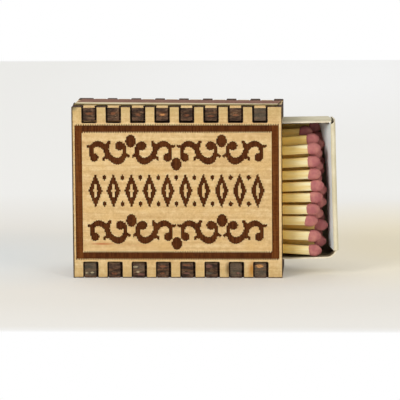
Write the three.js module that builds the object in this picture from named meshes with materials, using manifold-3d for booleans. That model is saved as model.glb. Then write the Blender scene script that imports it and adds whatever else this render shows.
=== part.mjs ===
// Matchbox: a laser-cut plywood sleeve with finger joints, a folded card tray and its matches.
// Millimetres, +Z up. The sleeve stands on its narrow bottom panel, its engraved front faces -Y,
// and the tray slides out towards +X. The origin is the centre of the sleeve's underside.

import * as THREE from 'three';
import { mergeVertices } from 'three/addons/utils/BufferGeometryUtils.js';
import Module from 'manifold-3d';

const wasm = await Module();
wasm.setup();

// Matches
const stickWidth = 2.05;
const matchLength = 42.5;
const headWidth = 2.8;
const headLength = 3.5;
const headSquareness = 4;      // exponent of the head's rounded-square section
const socketDepth = 2.3;       // how far the stick reaches into its head
const socketGap = 0.04;
const layerGap = 0.15;         // between the heads of neighbouring layers
const spareHeight = 8.44;      // tray height inside, beyond one layer of heads side by side
const rimSpace = 1.02;         // from the front layer of heads to the tray's rim

// Tray
const card = 0.38;
const foldGap = 0.05;          // between the layers of an end wall
const matchSpace = 5.5;        // tray length inside, beyond one match
const rightLean = THREE.MathUtils.degToRad(7);
const leftLean = THREE.MathUtils.degToRad(1.5);
const cornerTabReach = 9;
const flapSideGap = 0.25;      // from the tucked-in flap to the long walls
const flapFootGap = 0.6;       // from the tucked-in flap to the tray's base
const layerSeatGap = 0.15;     // from the lowest layer of heads to the tray's base
const trayOut = 13.4;          // how far the tray is slid out at rest

// Sleeve
const plyThickness = 3.75;
const slotDepth = 4;
const topPanelProud = 0.2;     // of the top panel above the lands of the broad panels
const slideGap = 0.3;          // below the tray
const headroom = 1;            // above the tray
const faceGap = 0.4;           // before and behind the tray
const sleeveOverhang = 0.95;   // of the sleeve past the closed tray, at each end
const firstLand = 2.6;         // from the end of a broad panel to its first slot
const slotPitch = 6.08;
const slotWidth = 3.64;
const kerfGap = 0.28;          // burnt away at each side of a tab

// Striker strip
const stripThickness = 0.35;
const stripWidth = 11.2;
const stripEndGap = 0.7;
const stripShift = -0.6;       // of the strip's middle line towards the front
const stripTurn = THREE.MathUtils.degToRad(-1.6);

// Engraving
const engraveDepth = 0.25;
const frameBand = 1.8;
const frameSideMargin = 0.9;
const frameTopGap = 0.45;      // from the upper slots to the frame
const frameBottomGap = 0.9;    // from the lower slots to the frame
const ornamentShift = -0.12;
const ovalWidth = 2.6;
const ovalHeight = 3.25;
const ovalSpacing = 22.66;     // between the two upper ovals of a row
const lowOvalDrop = 5.77;      // of a row's middle oval below its upper ovals
const upperRowGap = 0.66;      // from the frame to the upper row
const lowerRowGap = 0.34;      // from the lower row to the frame
const lowerCurlRadius = 1;
const upperCurlRadius = 1.1;
const spindleHeight = 8.8;
const spindleWidth = 3.5;
const spindlePitch = 4.5;
const spindleCount = 10;
const spindleRise = 0.4;       // of the middle band above halfway between the rows
const slitHeight = 4.6;
const slitWidth = 1;
const diamondSize = 1.5;
const diamondRise = 3.3;       // of the small diamonds above and below the band's middle line

// One scroll of the ornament, drawn from its lower curl to its upper one. Places are measured
// from the centre of the upper oval beside it, and width is the stroke's width there.
const scrollStroke = [
  { x: -9.3, z: -4.5, width: 1.2 },
  { x: -9.8, z: -3.5, width: 0.95 },
  { x: -9.85, z: -2.4, width: 0.85 },
  { x: -9.3, z: -1.3, width: 1.15 },
  { x: -8.1, z: -0.75, width: 1.42 },
  { x: -6.85, z: -1.35, width: 1.35 },
  { x: -6.0, z: -2.5, width: 1.25 },
  { x: -5.1, z: -4.0, width: 1.4 },
  { x: -3.4, z: -5.15, width: 1.55 },
  { x: -1.95, z: -4.25, width: 1.35 },
  { x: -1.5, z: -2.55, width: 0.95 },
  { x: -1.6, z: -1.2, width: 0.9 },
  { x: -2.35, z: -0.7, width: 0.95 },
];
const lowerCurl = { x: -9.06, z: -4.1 };
const upperCurl = { x: -2.8, z: -1.2 };
const scrollSteps = 26;
const curlSides = 14;
const ovalSides = 20;

// The thorns of a scroll, each from the two corners of its foot to its tip.
const thorns = [
  { from: [-9.7, -1.0], to: [-9.5, -1.8], tip: [-11.1, -1.15] },
  { from: [-6.9, -0.9], to: [-5.7, -1.8], tip: [-5.2, 0.1] },
  { from: [-6.1, -3.8], to: [-4.9, -4.7], tip: [-7.0, -5.0] },
  { from: [-1.4, -3.0], to: [-1.6, -4.3], tip: [-0.4, -3.95] },
];

// The matches of each layer, the layer nearest the open side first and each layer from its lowest
// match up. head and tail say how much of the tray's spare height lies below that end of the match.
// reach says how much of the tip space its head takes up, and forward how much of the rim space.
const layers = [
  [
    { head: 0.02, tail: 0.21, reach: 0.11 },
    { head: 0.09, tail: 0.26, reach: 0.06 },
    { head: 0.23, tail: 0.28, reach: -0.39 },
    { head: 0.24, tail: 0.30, reach: -0.11, forward: 0.4 },
    { head: 0.27, tail: 0.32, reach: 0.28 },
    { head: 0.29, tail: 0.34, reach: 0.47 },
    { head: 0.31, tail: 0.37, reach: 0.06 },
    { head: 0.35, tail: 0.40, reach: -0.06 },
    { head: 0.41, tail: 0.45, reach: 0 },
  ],
  [
    { head: 0.22, tail: 0.30, reach: 0.72 },
    { head: 0.38, tail: 0.36, reach: 0.94 },
    { head: 0.40, tail: 0.40, reach: 0.33 },
    { head: 0.42, tail: 0.42, reach: 0.78 },
    { head: 0.45, tail: 0.45, reach: 0.83 },
    { head: 0.47, tail: 0.47, reach: 0.17 },
    { head: 0.50, tail: 0.49, reach: 0.33 },
    { head: 0.55, tail: 0.53, reach: 0.22 },
    { head: 0.65, tail: 0.59, reach: -0.22 },
  ],
  [
    { head: 0.40, tail: 0.39, reach: 0.17 },
    { head: 0.55, tail: 0.47, reach: 0.50 },
    { head: 0.57, tail: 0.51, reach: 0.22 },
    { head: 0.59, tail: 0.54, reach: 0.61 },
    { head: 0.63, tail: 0.57, reach: 0.11 },
    { head: 0.65, tail: 0.59, reach: 0.44 },
    { head: 0.71, tail: 0.63, reach: 0.11 },
    { head: 0.79, tail: 0.67, reach: 0.50 },
    { head: 0.85, tail: 0.72, reach: -1.22 },
  ],
  [
    { head: 0.33, tail: 0.34, reach: 0.06 },
    { head: 0.52, tail: 0.46, reach: 0.44 },
    { head: 0.69, tail: 0.56, reach: 0.17 },
    { head: 0.81, tail: 0.63, reach: 0.33 },
    { head: 0.85, tail: 0.68, reach: 0.11 },
    { head: 0.89, tail: 0.72, reach: 0.50 },
    { head: 0.92, tail: 0.76, reach: 0.22 },
    { head: 0.95, tail: 0.79, reach: 0.39 },
    { head: 0.97, tail: 0.83, reach: 0.06 },
  ],
];
const twoPieceLayers = 2;      // layers whose sticks and heads are pieces of their own
const tipSpace = 1.8;          // from an ordinary match's head to the right end wall

// Sizes that follow
const endThickness = 3 * card + 2 * foldGap;
const trayLength = matchLength + matchSpace + 2 * endThickness;
const matchesInLayer = layers[0].length;
const layerPitch = headWidth + layerGap;
const trayInnerHeight = matchesInLayer * headWidth + spareHeight;
const trayHeight = trayInnerHeight + 2 * card;
const trayDepth = card + layerSeatGap + layers.length * layerPitch - layerGap + rimSpace;
const sleeveLength = trayLength + 2 * sleeveOverhang;
const innerDepth = trayDepth + 2 * faceGap;
const trayMiddle = plyThickness + slideGap + trayHeight / 2;
const topUnderside = trayMiddle + trayHeight / 2 + headroom;
const sleeveHeight = topUnderside + plyThickness - topPanelProud;
const slotCount = Math.floor((sleeveLength - 2 * firstLand + slotPitch - slotWidth) / slotPitch);
const slotStarts = Array.from({ length: slotCount }, (_, i) => -sleeveLength / 2 + firstLand + i * slotPitch);
const frame = {
  left: -sleeveLength / 2 + frameSideMargin,
  right: sleeveLength / 2 - frameSideMargin,
  top: sleeveHeight - slotDepth - frameTopGap,
  bottom: slotDepth + frameBottomGap,
};
const upperRow = frame.top - frameBand - upperRowGap - ovalHeight / 2;
const lowerRow = frame.bottom + frameBand + lowerRowGap + ovalHeight / 2 + lowOvalDrop;
const bandMiddle = (upperRow - lowOvalDrop + lowerRow) / 2 + spindleRise;

// Materials
const finish = (color, roughness) => new THREE.MeshStandardMaterial({ color, roughness, metalness: 0 });
const birchFinish = finish(0xdcbd86, 0.7);
const strikerFinish = finish(0x7c3f3a, 0.85);
const cardFinish = finish(0xd6d3c8, 0.8);
const stickFinish = finish(0xe8d08c, 0.7);
const headFinish = finish(0xb56a70, 0.8);

// Solids from three.js geometry, for joins and cuts
function toSolid(geometry) {
  const bare = geometry.clone();
  bare.deleteAttribute('normal');
  bare.deleteAttribute('uv');
  const merged = mergeVertices(bare, 1e-5);
  return new wasm.Manifold(new wasm.Mesh({
    numProp: 3,
    vertProperties: merged.attributes.position.array,
    triVerts: new Uint32Array(merged.index.array),
  }));
}

function toGeometry(solid) {
  const mesh = solid.getMesh();
  const geometry = new THREE.BufferGeometry();
  geometry.setAttribute('position', new THREE.BufferAttribute(mesh.vertProperties, 3));
  geometry.setIndex(new THREE.BufferAttribute(mesh.triVerts, 1));
  geometry.computeVertexNormals();
  return geometry;
}

const join = (solids) => solids.reduce((whole, next) => whole.add(next));

function extrude(points, depth) {
  const shape = new THREE.Shape(points.map(([x, y]) => new THREE.Vector2(x, y)));
  return new THREE.ExtrudeGeometry(shape, { depth, bevelEnabled: false });
}

function named(name, geometry, material) {
  const mesh = new THREE.Mesh(geometry, material);
  mesh.name = name;
  return mesh;
}

// The outline of a broad panel in X and Z, with open slots along its lower and upper edges.
function broadPanelOutline() {
  const edge = (edgeHeight, floorHeight) => slotStarts.flatMap((start) => [
    [start, edgeHeight],
    [start, floorHeight],
    [start + slotWidth, floorHeight],
    [start + slotWidth, edgeHeight],
  ]);
  const lower = edge(0, slotDepth);
  const upper = edge(sleeveHeight, sleeveHeight - slotDepth).reverse();
  const half = sleeveLength / 2;
  return [[-half, 0], ...lower, [half, 0], [half, sleeveHeight], ...upper, [-half, sleeveHeight]];
}

// A panel that stands in the XZ plane, from the cavity's front face towards -Y.
function standing(points, depth, backFace) {
  return extrude(points, depth).rotateX(Math.PI / 2).translate(0, backFace, 0);
}

function engravingCut(points) {
  const overshoot = 1;
  const floor = -innerDepth / 2 - plyThickness + engraveDepth;
  return toSolid(standing(points, engraveDepth + overshoot, floor));
}

function ovalPoints(x, z, width, height, sides) {
  return Array.from({ length: sides }, (_, i) => {
    const angle = (2 * Math.PI * i) / sides;
    return [x + (width / 2) * Math.cos(angle), z + (height / 2) * Math.sin(angle)];
  });
}

function lozengePoints(x, z, width, height) {
  return [[x - width / 2, z], [x, z - height / 2], [x + width / 2, z], [x, z + height / 2]];
}

// The outline of a stroke of changing width along a smooth curve.
function strokePoints(stroke) {
  const curve = new THREE.SplineCurve(stroke.map(({ x, z }) => new THREE.Vector2(x, z)));
  const left = [];
  const right = [];
  for (let i = 0; i <= scrollSteps; i += 1) {
    const t = i / scrollSteps;
    const place = curve.getPoint(t);
    const along = curve.getTangent(t);
    const span = t * (stroke.length - 1);
    const index = Math.min(Math.floor(span), stroke.length - 2);
    const width = THREE.MathUtils.lerp(stroke[index].width, stroke[index + 1].width, span - index);
    left.push([place.x - (along.y * width) / 2, place.y + (along.x * width) / 2]);
    right.push([place.x + (along.y * width) / 2, place.y - (along.x * width) / 2]);
  }
  return [...left, ...right.reverse()];
}

// One scroll, beside the upper oval at x, z. side is 1, or -1 for its mirror image.
function scrollCuts(x, z, side) {
  const shapes = [
    strokePoints(scrollStroke),
    ovalPoints(lowerCurl.x, lowerCurl.z, 2 * lowerCurlRadius, 2 * lowerCurlRadius, curlSides),
    ovalPoints(upperCurl.x, upperCurl.z, 2 * upperCurlRadius, 2 * upperCurlRadius, curlSides),
    ...thorns.map(({ from, to, tip }) => [from, to, tip]),
  ];
  return shapes.map((points) => engravingCut(points.map(([dx, dz]) => [x + side * dx, z + dz])));
}

function rowCuts(z) {
  const upperOvals = [ornamentShift - ovalSpacing / 2, ornamentShift + ovalSpacing / 2];
  return [
    ...upperOvals.map((x) => engravingCut(ovalPoints(x, z, ovalWidth, ovalHeight, ovalSides))),
    engravingCut(ovalPoints(ornamentShift, z - lowOvalDrop, ovalWidth, ovalHeight, ovalSides)),
    ...upperOvals.flatMap((x) => [...scrollCuts(x, z, 1), ...scrollCuts(x, z, -1)]),
  ];
}

// The middle band: tall lozenges with a slit each, and pairs of small diamonds between them.
function bandCuts() {
  const cuts = [];
  for (let i = 0; i < spindleCount; i += 1) {
    const x = ornamentShift + (i - (spindleCount - 1) / 2) * spindlePitch;
    const slit = engravingCut(lozengePoints(x, bandMiddle, slitWidth, slitHeight));
    cuts.push(engravingCut(lozengePoints(x, bandMiddle, spindleWidth, spindleHeight)).subtract(slit));
    if (i > 0) {
      for (const rise of [-diamondRise, diamondRise]) {
        const between = x - spindlePitch / 2;
        cuts.push(engravingCut(lozengePoints(between, bandMiddle + rise, diamondSize, diamondSize)));
      }
    }
  }
  return cuts;
}

function frameCut() {
  const rectangle = (inset) => [
    [frame.left + inset, frame.bottom + inset],
    [frame.right - inset, frame.bottom + inset],
    [frame.right - inset, frame.top - inset],
    [frame.left + inset, frame.top - inset],
  ];
  return engravingCut(rectangle(0)).subtract(engravingCut(rectangle(frameBand)));
}

function broadPanel() {
  return standing(broadPanelOutline(), plyThickness, -innerDepth / 2);
}

function frontPanel() {
  const engraving = join([frameCut(), ...rowCuts(upperRow), ...rowCuts(lowerRow), ...bandCuts()]);
  return toGeometry(toSolid(broadPanel()).subtract(engraving));
}

// A narrow panel lies between the broad ones, with a tab in each of their slots. The back
// panel is the front one turned round, so the rear tabs are the front tabs turned round too.
function narrowPanel(underside) {
  const half = sleeveLength / 2;
  const inner = innerDepth / 2;
  const outer = inner + plyThickness;
  const frontEdge = slotStarts.flatMap((start) => [
    [start + kerfGap, -inner],
    [start + kerfGap, -outer],
    [start + slotWidth - kerfGap, -outer],
    [start + slotWidth - kerfGap, -inner],
  ]);
  const rearEdge = frontEdge.map(([x, y]) => [-x, -y]);
  const outline = [[-half, -inner], ...frontEdge, [half, -inner], [half, inner], ...rearEdge, [-half, inner]];
  return extrude(outline, plyThickness).translate(0, 0, underside);
}

function strikerStrip() {
  const strip = new THREE.BoxGeometry(sleeveLength - 2 * stripEndGap, stripWidth, stripThickness);
  return strip.rotateZ(stripTurn).translate(0, stripShift, topUnderside + plyThickness + stripThickness / 2);
}

// The tray is folded from one blank. Its base is at the back, y = 0 here is the base's outer
// face, and the open side is towards -Y. An end wall is an outer layer that folds over at the
// rim and down inside again, with the corner tabs of the long walls tucked in between.
function endWall(side, lean) {
  const foldRadius = endThickness / 2;
  const foldHeight = trayDepth - foldRadius;
  const middle = -foldRadius;
  const arc = (radius, steps) => Array.from({ length: steps + 1 }, (_, i) => {
    const angle = -(Math.PI * i) / steps;
    return [middle + radius * Math.cos(angle), -foldHeight + radius * Math.sin(angle)];
  });
  const arcSteps = 8;
  const flapFoot = -card - flapFootGap;
  const foldedSheet = [
    [0, 0],
    ...arc(foldRadius, arcSteps),
    [-endThickness, flapFoot],
    [-endThickness + card, flapFoot],
    ...arc(foldRadius - card, arcSteps).reverse(),
    [-card, 0],
  ];
  const outerLayer = [[0, 0], [0, -foldHeight], [-card, -foldHeight], [-card, 0]];
  const tabOuter = -card - foldGap;
  const tabLayer = [
    [tabOuter, flapFoot],
    [tabOuter, -foldHeight],
    [tabOuter - card, -foldHeight],
    [tabOuter - card, flapFoot],
  ];
  const placed = (points, length, start) => toSolid(
    extrude(points.map(([x, y]) => [side * x, y]), length).translate(0, 0, start).rotateZ(side * lean),
  );
  const flapLength = trayInnerHeight - 2 * flapSideGap;
  return join([
    placed(foldedSheet, flapLength, -flapLength / 2),
    placed(outerLayer, trayHeight, -trayHeight / 2),
    placed(tabLayer, cornerTabReach, -trayHeight / 2),
    placed(tabLayer, cornerTabReach, trayHeight / 2 - cornerTabReach),
  ]).translate([(side * trayLength) / 2, 0, 0]);
}

function trayBody() {
  const half = trayLength / 2;
  const wallEnd = half - card - foldGap;
  const wallHeight = trayDepth - endThickness / 2;
  const longWall = [
    [-wallEnd, 0],
    [wallEnd, 0],
    [wallEnd + wallHeight * Math.tan(rightLean), -wallHeight],
    [-wallEnd - wallHeight * Math.tan(leftLean), -wallHeight],
  ];
  const base = new THREE.BoxGeometry(trayLength, card, trayHeight).translate(0, -card / 2, 0);
  const sheet = join([
    toSolid(base),
    toSolid(extrude(longWall, card).translate(0, 0, -trayHeight / 2)),
    toSolid(extrude(longWall, card).translate(0, 0, trayHeight / 2 - card)),
    endWall(1, rightLean),
    endWall(-1, leftLean),
  ]);
  return toGeometry(sheet);
}

// A match lies along X with the end of its head at x = 0. The head's rings are turned on a
// lathe and then pushed out to a rounded square, as a drop takes on a square stick.
function headGeometry() {
  const halfWidth = headWidth / 2;
  const profile = [
    [0, 0],
    [0.55 * halfWidth, 0.08 * headLength],
    [0.88 * halfWidth, 0.28 * headLength],
    [halfWidth, 0.52 * headLength],
    [0.94 * halfWidth, headLength],
    [0, headLength],
  ];
  const sides = 8;
  const geometry = new THREE.LatheGeometry(profile.map(([r, y]) => new THREE.Vector2(r, y)), sides);
  const position = geometry.attributes.position;
  for (let i = 0; i < position.count; i += 1) {
    const angle = Math.atan2(position.getZ(i), position.getX(i));
    const sum = Math.abs(Math.cos(angle)) ** headSquareness + Math.abs(Math.sin(angle)) ** headSquareness;
    const push = sum ** (-1 / headSquareness);
    position.setX(i, position.getX(i) * push);
    position.setZ(i, position.getZ(i) * push);
  }
  return geometry.rotateZ(Math.PI / 2);
}

const stickEnd = headLength - socketDepth;
const stickLength = matchLength - stickEnd;

function stickGeometry(gap) {
  const width = stickWidth + 2 * gap;
  const length = stickLength + gap;
  return new THREE.BoxGeometry(length, width, width).translate(-matchLength + length / 2, 0, 0);
}

const headSolid = toSolid(headGeometry());
const separateStick = stickGeometry(0);
const separateHead = toGeometry(headSolid.subtract(toSolid(stickGeometry(socketGap))));
const wholeMatch = toGeometry(headSolid.add(toSolid(separateStick)));

// The height of one end of a match above the tray's lower wall. Each match lies on those below
// it in its layer, and on its share of the spare height.
function heightInLayer(rank, width, share) {
  return (rank + 0.5) * width + share * (trayInnerHeight - matchesInLayer * width);
}

// The group of one match, turned so that it runs from its tail's height to its head's.
function matchGroup(number, place, rank, layerY, pieces) {
  const group = new THREE.Group();
  const headAt = heightInLayer(rank, headWidth, place.head);
  const tailAt = heightInLayer(rank, stickWidth, place.tail);
  const tipX = trayLength / 2 - endThickness - tipSpace * (1 - place.reach);
  const forward = rimSpace * (place.forward ?? 0);
  group.position.set(tipX, layerY - forward, headAt - trayInnerHeight / 2);
  group.rotation.y = -Math.asin((headAt - tailAt) / matchLength);
  for (const { suffix, geometry, material } of pieces) {
    group.add(named(`match_${String(number).padStart(2, '0')}${suffix}`, geometry, material));
  }
  return group;
}

function matches() {
  const group = new THREE.Group();
  const frontLayer = -trayDepth / 2 + rimSpace + headWidth / 2;
  const split = [
    { suffix: '_stick', geometry: separateStick, material: stickFinish },
    { suffix: '_head', geometry: separateHead, material: headFinish },
  ];
  const whole = [{ suffix: '', geometry: wholeMatch, material: stickFinish }];
  layers.forEach((layer, index) => {
    layer.forEach((place, rank) => {
      const number = index * matchesInLayer + rank + 1;
      const pieces = index < twoPieceLayers ? split : whole;
      group.add(matchGroup(number, place, rank, frontLayer + index * layerPitch, pieces));
    });
  });
  return group;
}

// The assembly
const matchbox = new THREE.Group();
matchbox.add(named('front_panel', frontPanel(), birchFinish));
const backPanel = named('back_panel', broadPanel(), birchFinish);
backPanel.rotation.z = Math.PI;
matchbox.add(backPanel);
matchbox.add(named('bottom_panel', narrowPanel(0), birchFinish));
matchbox.add(named('top_panel', narrowPanel(topUnderside), birchFinish));
matchbox.add(named('striker_strip', strikerStrip(), strikerFinish));

const trayGroup = new THREE.Group();
trayGroup.position.set(trayOut, 0, trayMiddle);
const tray = named('tray', trayBody(), cardFinish);
tray.position.y = trayDepth / 2;
trayGroup.add(tray);
trayGroup.add(matches());
matchbox.add(trayGroup);

export default matchbox;
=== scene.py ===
import math
import random

import bmesh
import bpy
from mathutils import Matrix, Vector, noise


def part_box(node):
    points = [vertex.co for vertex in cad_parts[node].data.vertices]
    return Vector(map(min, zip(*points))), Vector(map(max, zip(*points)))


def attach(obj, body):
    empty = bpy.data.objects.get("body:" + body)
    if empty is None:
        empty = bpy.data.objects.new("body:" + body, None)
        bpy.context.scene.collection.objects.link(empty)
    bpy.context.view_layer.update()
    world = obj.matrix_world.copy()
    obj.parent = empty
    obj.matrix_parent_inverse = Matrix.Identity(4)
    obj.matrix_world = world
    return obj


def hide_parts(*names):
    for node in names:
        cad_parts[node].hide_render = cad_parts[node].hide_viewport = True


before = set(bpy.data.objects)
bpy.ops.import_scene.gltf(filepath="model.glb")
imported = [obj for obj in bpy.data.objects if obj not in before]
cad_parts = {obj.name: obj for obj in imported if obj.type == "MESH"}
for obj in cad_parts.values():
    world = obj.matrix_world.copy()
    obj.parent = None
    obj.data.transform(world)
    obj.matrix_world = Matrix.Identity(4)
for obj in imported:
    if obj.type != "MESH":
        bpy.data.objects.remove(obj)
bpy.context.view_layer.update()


# Front panel: one broad side of the sleeve, laser-cut from birch plywood of nominally 4 mm, with
# eight open slots along each long edge. The tabs of the narrow panels are glued into them.
# Its ornament is engraved by the same laser in upright lines, which start and stop by turns.
MM = 0.001
front_low, front_high = (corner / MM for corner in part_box("front_panel"))
panel_left = front_low.x
panel_right = front_high.x
panel_top = front_high.z
face_front = front_low.y
face_rear = front_high.y
first_land = 2.6
slot_pitch = 6.08
slot_width = 3.64
slot_depth = 4.0
slot_count = 8
slot_corner = 0.32
land_corner = 0.14
edge_bevel = 0.11
toasted_ring = 0.15
wall_levels = 6
least_corner = 0.02
face_skin, wall_skin, floor_skin, side_floor_skin = range(4)


def srgb(red, green, blue):
    """A colour of 0 to 255 a channel, as Blender's linear values."""
    shares = [channel / 255 for channel in (red, green, blue)]
    linear = [s / 12.92 if s <= 0.04045 else ((s + 0.055) / 1.055) ** 2.4 for s in shares]
    return (*linear, 1.0)


class Finish:
    """A material while its nodes are put together. Places are in millimetres."""

    def __init__(self, name, roughness, specular=0.35):
        self.material = bpy.data.materials.new(name)
        self.material.use_nodes = True
        self.nodes = self.material.node_tree.nodes
        self.links = self.material.node_tree.links
        self.shader = self.nodes["Principled BSDF"]
        self.shader.inputs["Roughness"].default_value = roughness
        self.shader.inputs["Specular IOR Level"].default_value = specular
        self.place = self.nodes.new("ShaderNodeTexCoord").outputs["Object"]

    def fill(self, node, inputs):
        """Sets or links the node's inputs, each under its name or number, and gives its outputs."""
        for key, value in inputs.items():
            if isinstance(value, bpy.types.NodeSocket):
                self.links.new(value, node.inputs[key])
            else:
                node.inputs[key].default_value = value
        return node.outputs

    def spread(self, per_mm, offset=(0, 0, 0)):
        """The place, scaled to so many features to a millimetre along each axis."""
        mapping = self.nodes.new("ShaderNodeMapping")
        scale = [value / MM for value in per_mm]
        return self.fill(mapping, {"Vector": self.place, "Scale": scale, "Location": offset})["Vector"]

    def noise(self, per_mm, detail=2.0, offset=(0, 0, 0), distortion=0.0):
        texture = self.nodes.new("ShaderNodeTexNoise")
        place = self.spread(per_mm, offset)
        inputs = {"Vector": place, "Scale": 1.0, "Detail": detail, "Distortion": distortion}
        return self.fill(texture, inputs)["Fac"]

    def spot(self, centre, radii):
        """1 in the middle of an oval spot, falling to 0 at its edge."""
        gradient = self.nodes.new("ShaderNodeTexGradient")
        gradient.gradient_type = "SPHERICAL"
        offset = [-place / radius for place, radius in zip(centre, radii)]
        return self.fill(gradient, {"Vector": self.spread([1 / radius for radius in radii], offset)})["Fac"]

    def axis(self, name):
        """The place along one axis, in millimetres."""
        parts = self.nodes.new("ShaderNodeSeparateXYZ")
        return self.fill(parts, {"Vector": self.spread((1, 1, 1))})[name]

    def attribute(self, name):
        source = self.nodes.new("ShaderNodeAttribute")
        source.attribute_name = name
        return source.outputs["Fac"]

    def number(self, operation, one, other):
        node = self.nodes.new("ShaderNodeMath")
        node.operation = operation
        return self.fill(node, {0: one, 1: other})["Value"]

    def between(self, value, low, high, to_low=0.0, to_high=1.0):
        """The value stretched so that low gives to_low and high gives to_high, held there beyond."""
        node = self.nodes.new("ShaderNodeMapRange")
        ends = {"From Min": low, "From Max": high, "To Min": to_low, "To Max": to_high}
        return self.fill(node, {"Value": value, **ends})["Result"]

    def ramp(self, value, stops):
        node = self.nodes.new("ShaderNodeValToRGB")
        elements = node.color_ramp.elements
        while len(elements) < len(stops):
            elements.new(0.5)
        for element, (position, colour) in zip(elements, stops):
            element.position = position
            element.color = colour
        return self.fill(node, {"Fac": value})["Color"]

    def mix(self, factor, one, other):
        node = self.nodes.new("ShaderNodeMix")
        node.data_type = "RGBA"
        return self.fill(node, {0: factor, 6: one, 7: other})[2]

    def tint(self, colour, value, low, high, most, tint):
        """The colour with more of the tint, up to most, as the value goes from low to high."""
        return self.mix(self.between(value, low, high, 0.0, most), colour, tint)

    def finish(self, colour, height, relief):
        """Joins the colour and the height of the surface to the shader. relief is in millimetres."""
        bump = self.nodes.new("ShaderNodeBump")
        normal = self.fill(bump, {"Height": height, "Distance": relief * MM})["Normal"]
        self.fill(self.shader, {"Base Color": colour, "Normal": normal})
        return self.material


def birch_finish(name, stains=(), burnt_rims=()):
    """Birch veneer with its grain along X, its stains and its scorched edges.

    Each stain is a centre, radii, a strength and a colour. Each burnt rim is an axis, the place of
    the edge and the place where its scorch has faded out.
    """
    birch = Finish(name, roughness=0.62)
    streaks = birch.noise((0.035, 1.1, 1.1), detail=5, distortion=0.3)
    fibres = birch.noise((0.25, 9.0, 9.0), detail=3)
    flecks = birch.noise((0.75, 4.2, 4.2), detail=1)
    patches = birch.noise((0.16, 0.34, 0.34), detail=3, offset=(3, 1, 5))
    mottle = birch.noise((0.9, 0.9, 0.9), detail=4, offset=(7, 2, 4))
    pores = birch.noise((3.2, 3.2, 3.2), detail=2, offset=(8, 8, 1))
    rings = birch.noise((0.045, 2.3, 2.3), detail=2, offset=(9, 3, 2), distortion=0.4)
    colour = birch.ramp(birch.mix(0.4, streaks, mottle), [
        (0.36, srgb(204, 164, 106)),
        (0.50, srgb(221, 186, 129)),
        (0.62, srgb(234, 205, 152)),
    ])
    colour = birch.tint(colour, patches, 0.45, 0.72, 0.55, srgb(226, 186, 118))
    colour = birch.tint(colour, fibres, 0.35, 0.7, 0.2, srgb(196, 156, 98))
    colour = birch.tint(colour, flecks, 0.63, 0.75, 0.38, srgb(182, 138, 84))
    colour = birch.tint(colour, pores, 0.5, 0.72, 0.32, srgb(192, 150, 92))
    colour = birch.tint(colour, pores, 0.5, 0.3, 0.28, srgb(240, 212, 162))
    colour = birch.tint(colour, rings, 0.56, 0.7, 0.34, srgb(190, 144, 84))
    for centre, radii, strength, stain in stains:
        share = birch.number("MULTIPLY", birch.spot(centre, radii), strength)
        colour = birch.mix(share, colour, stain)
    for axis, edge_place, faded_place in burnt_rims:
        rim = birch.between(birch.axis(axis), edge_place, faded_place, 1.0, 0.0)
        uneven = birch.between(birch.noise((0.9, 2, 0.9), detail=3), 0.3, 0.7, 0.6, 1.5)
        colour = birch.tint(colour, birch.number("MULTIPLY", rim, uneven), 0.05, 0.5, 0.95, srgb(70, 60, 40))
    ragged = birch.between(birch.noise((1.6, 1.6, 1.6), detail=2), 0.3, 0.7, 0.55, 1.25)
    toast = birch.number("MULTIPLY", birch.attribute("scorch"), ragged)
    colour = birch.tint(colour, toast, 0.2, 1.0, 0.85, srgb(104, 74, 44))
    return birch.finish(colour, birch.number("ADD", fibres, streaks), relief=0.035)


def burnt_finish(name, axis, low, high, stretch):
    """The wall of a laser cut through plywood, with its veneers as bands from low to high.

    It gives the material before it is finished, its colour and its specks.
    """
    burnt = Finish(name, roughness=0.78, specular=0.2)
    wander = burnt.number("MULTIPLY", burnt.noise(stretch, detail=3), 0.85)
    level = burnt.number("ADD", burnt.axis(axis), burnt.number("SUBTRACT", wander, 0.42))
    colour = burnt.ramp(burnt.between(level, low, high), [
        (0.00, srgb(64, 44, 31)),
        (0.16, srgb(98, 70, 52)),
        (0.30, srgb(58, 42, 31)),
        (0.44, srgb(76, 58, 40)),
        (0.56, srgb(106, 70, 44)),
        (0.64, srgb(68, 48, 36)),
        (0.80, srgb(86, 63, 50)),
        (1.00, srgb(54, 38, 28)),
    ])
    specks = burnt.noise([2.4 * value for value in stretch], detail=2, offset=(2, 7, 1))
    colour = burnt.tint(colour, specks, 0.44, 0.66, 0.75, srgb(130, 100, 74))
    char = burnt.noise([0.5 * value for value in stretch], detail=2, offset=(5, 5, 5))
    colour = burnt.tint(colour, char, 0.42, 0.66, 0.85, srgb(34, 24, 18))
    return burnt, colour, specks


def burnt_wall(name, low, high):
    """The wall of a broad panel, cut straight from its face at one Y to its rear at the other."""
    burnt, colour, specks = burnt_finish(name, "Y", low, high, (1.6, 2.2, 0.7))
    return burnt.finish(colour, specks, relief=0.05)


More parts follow.
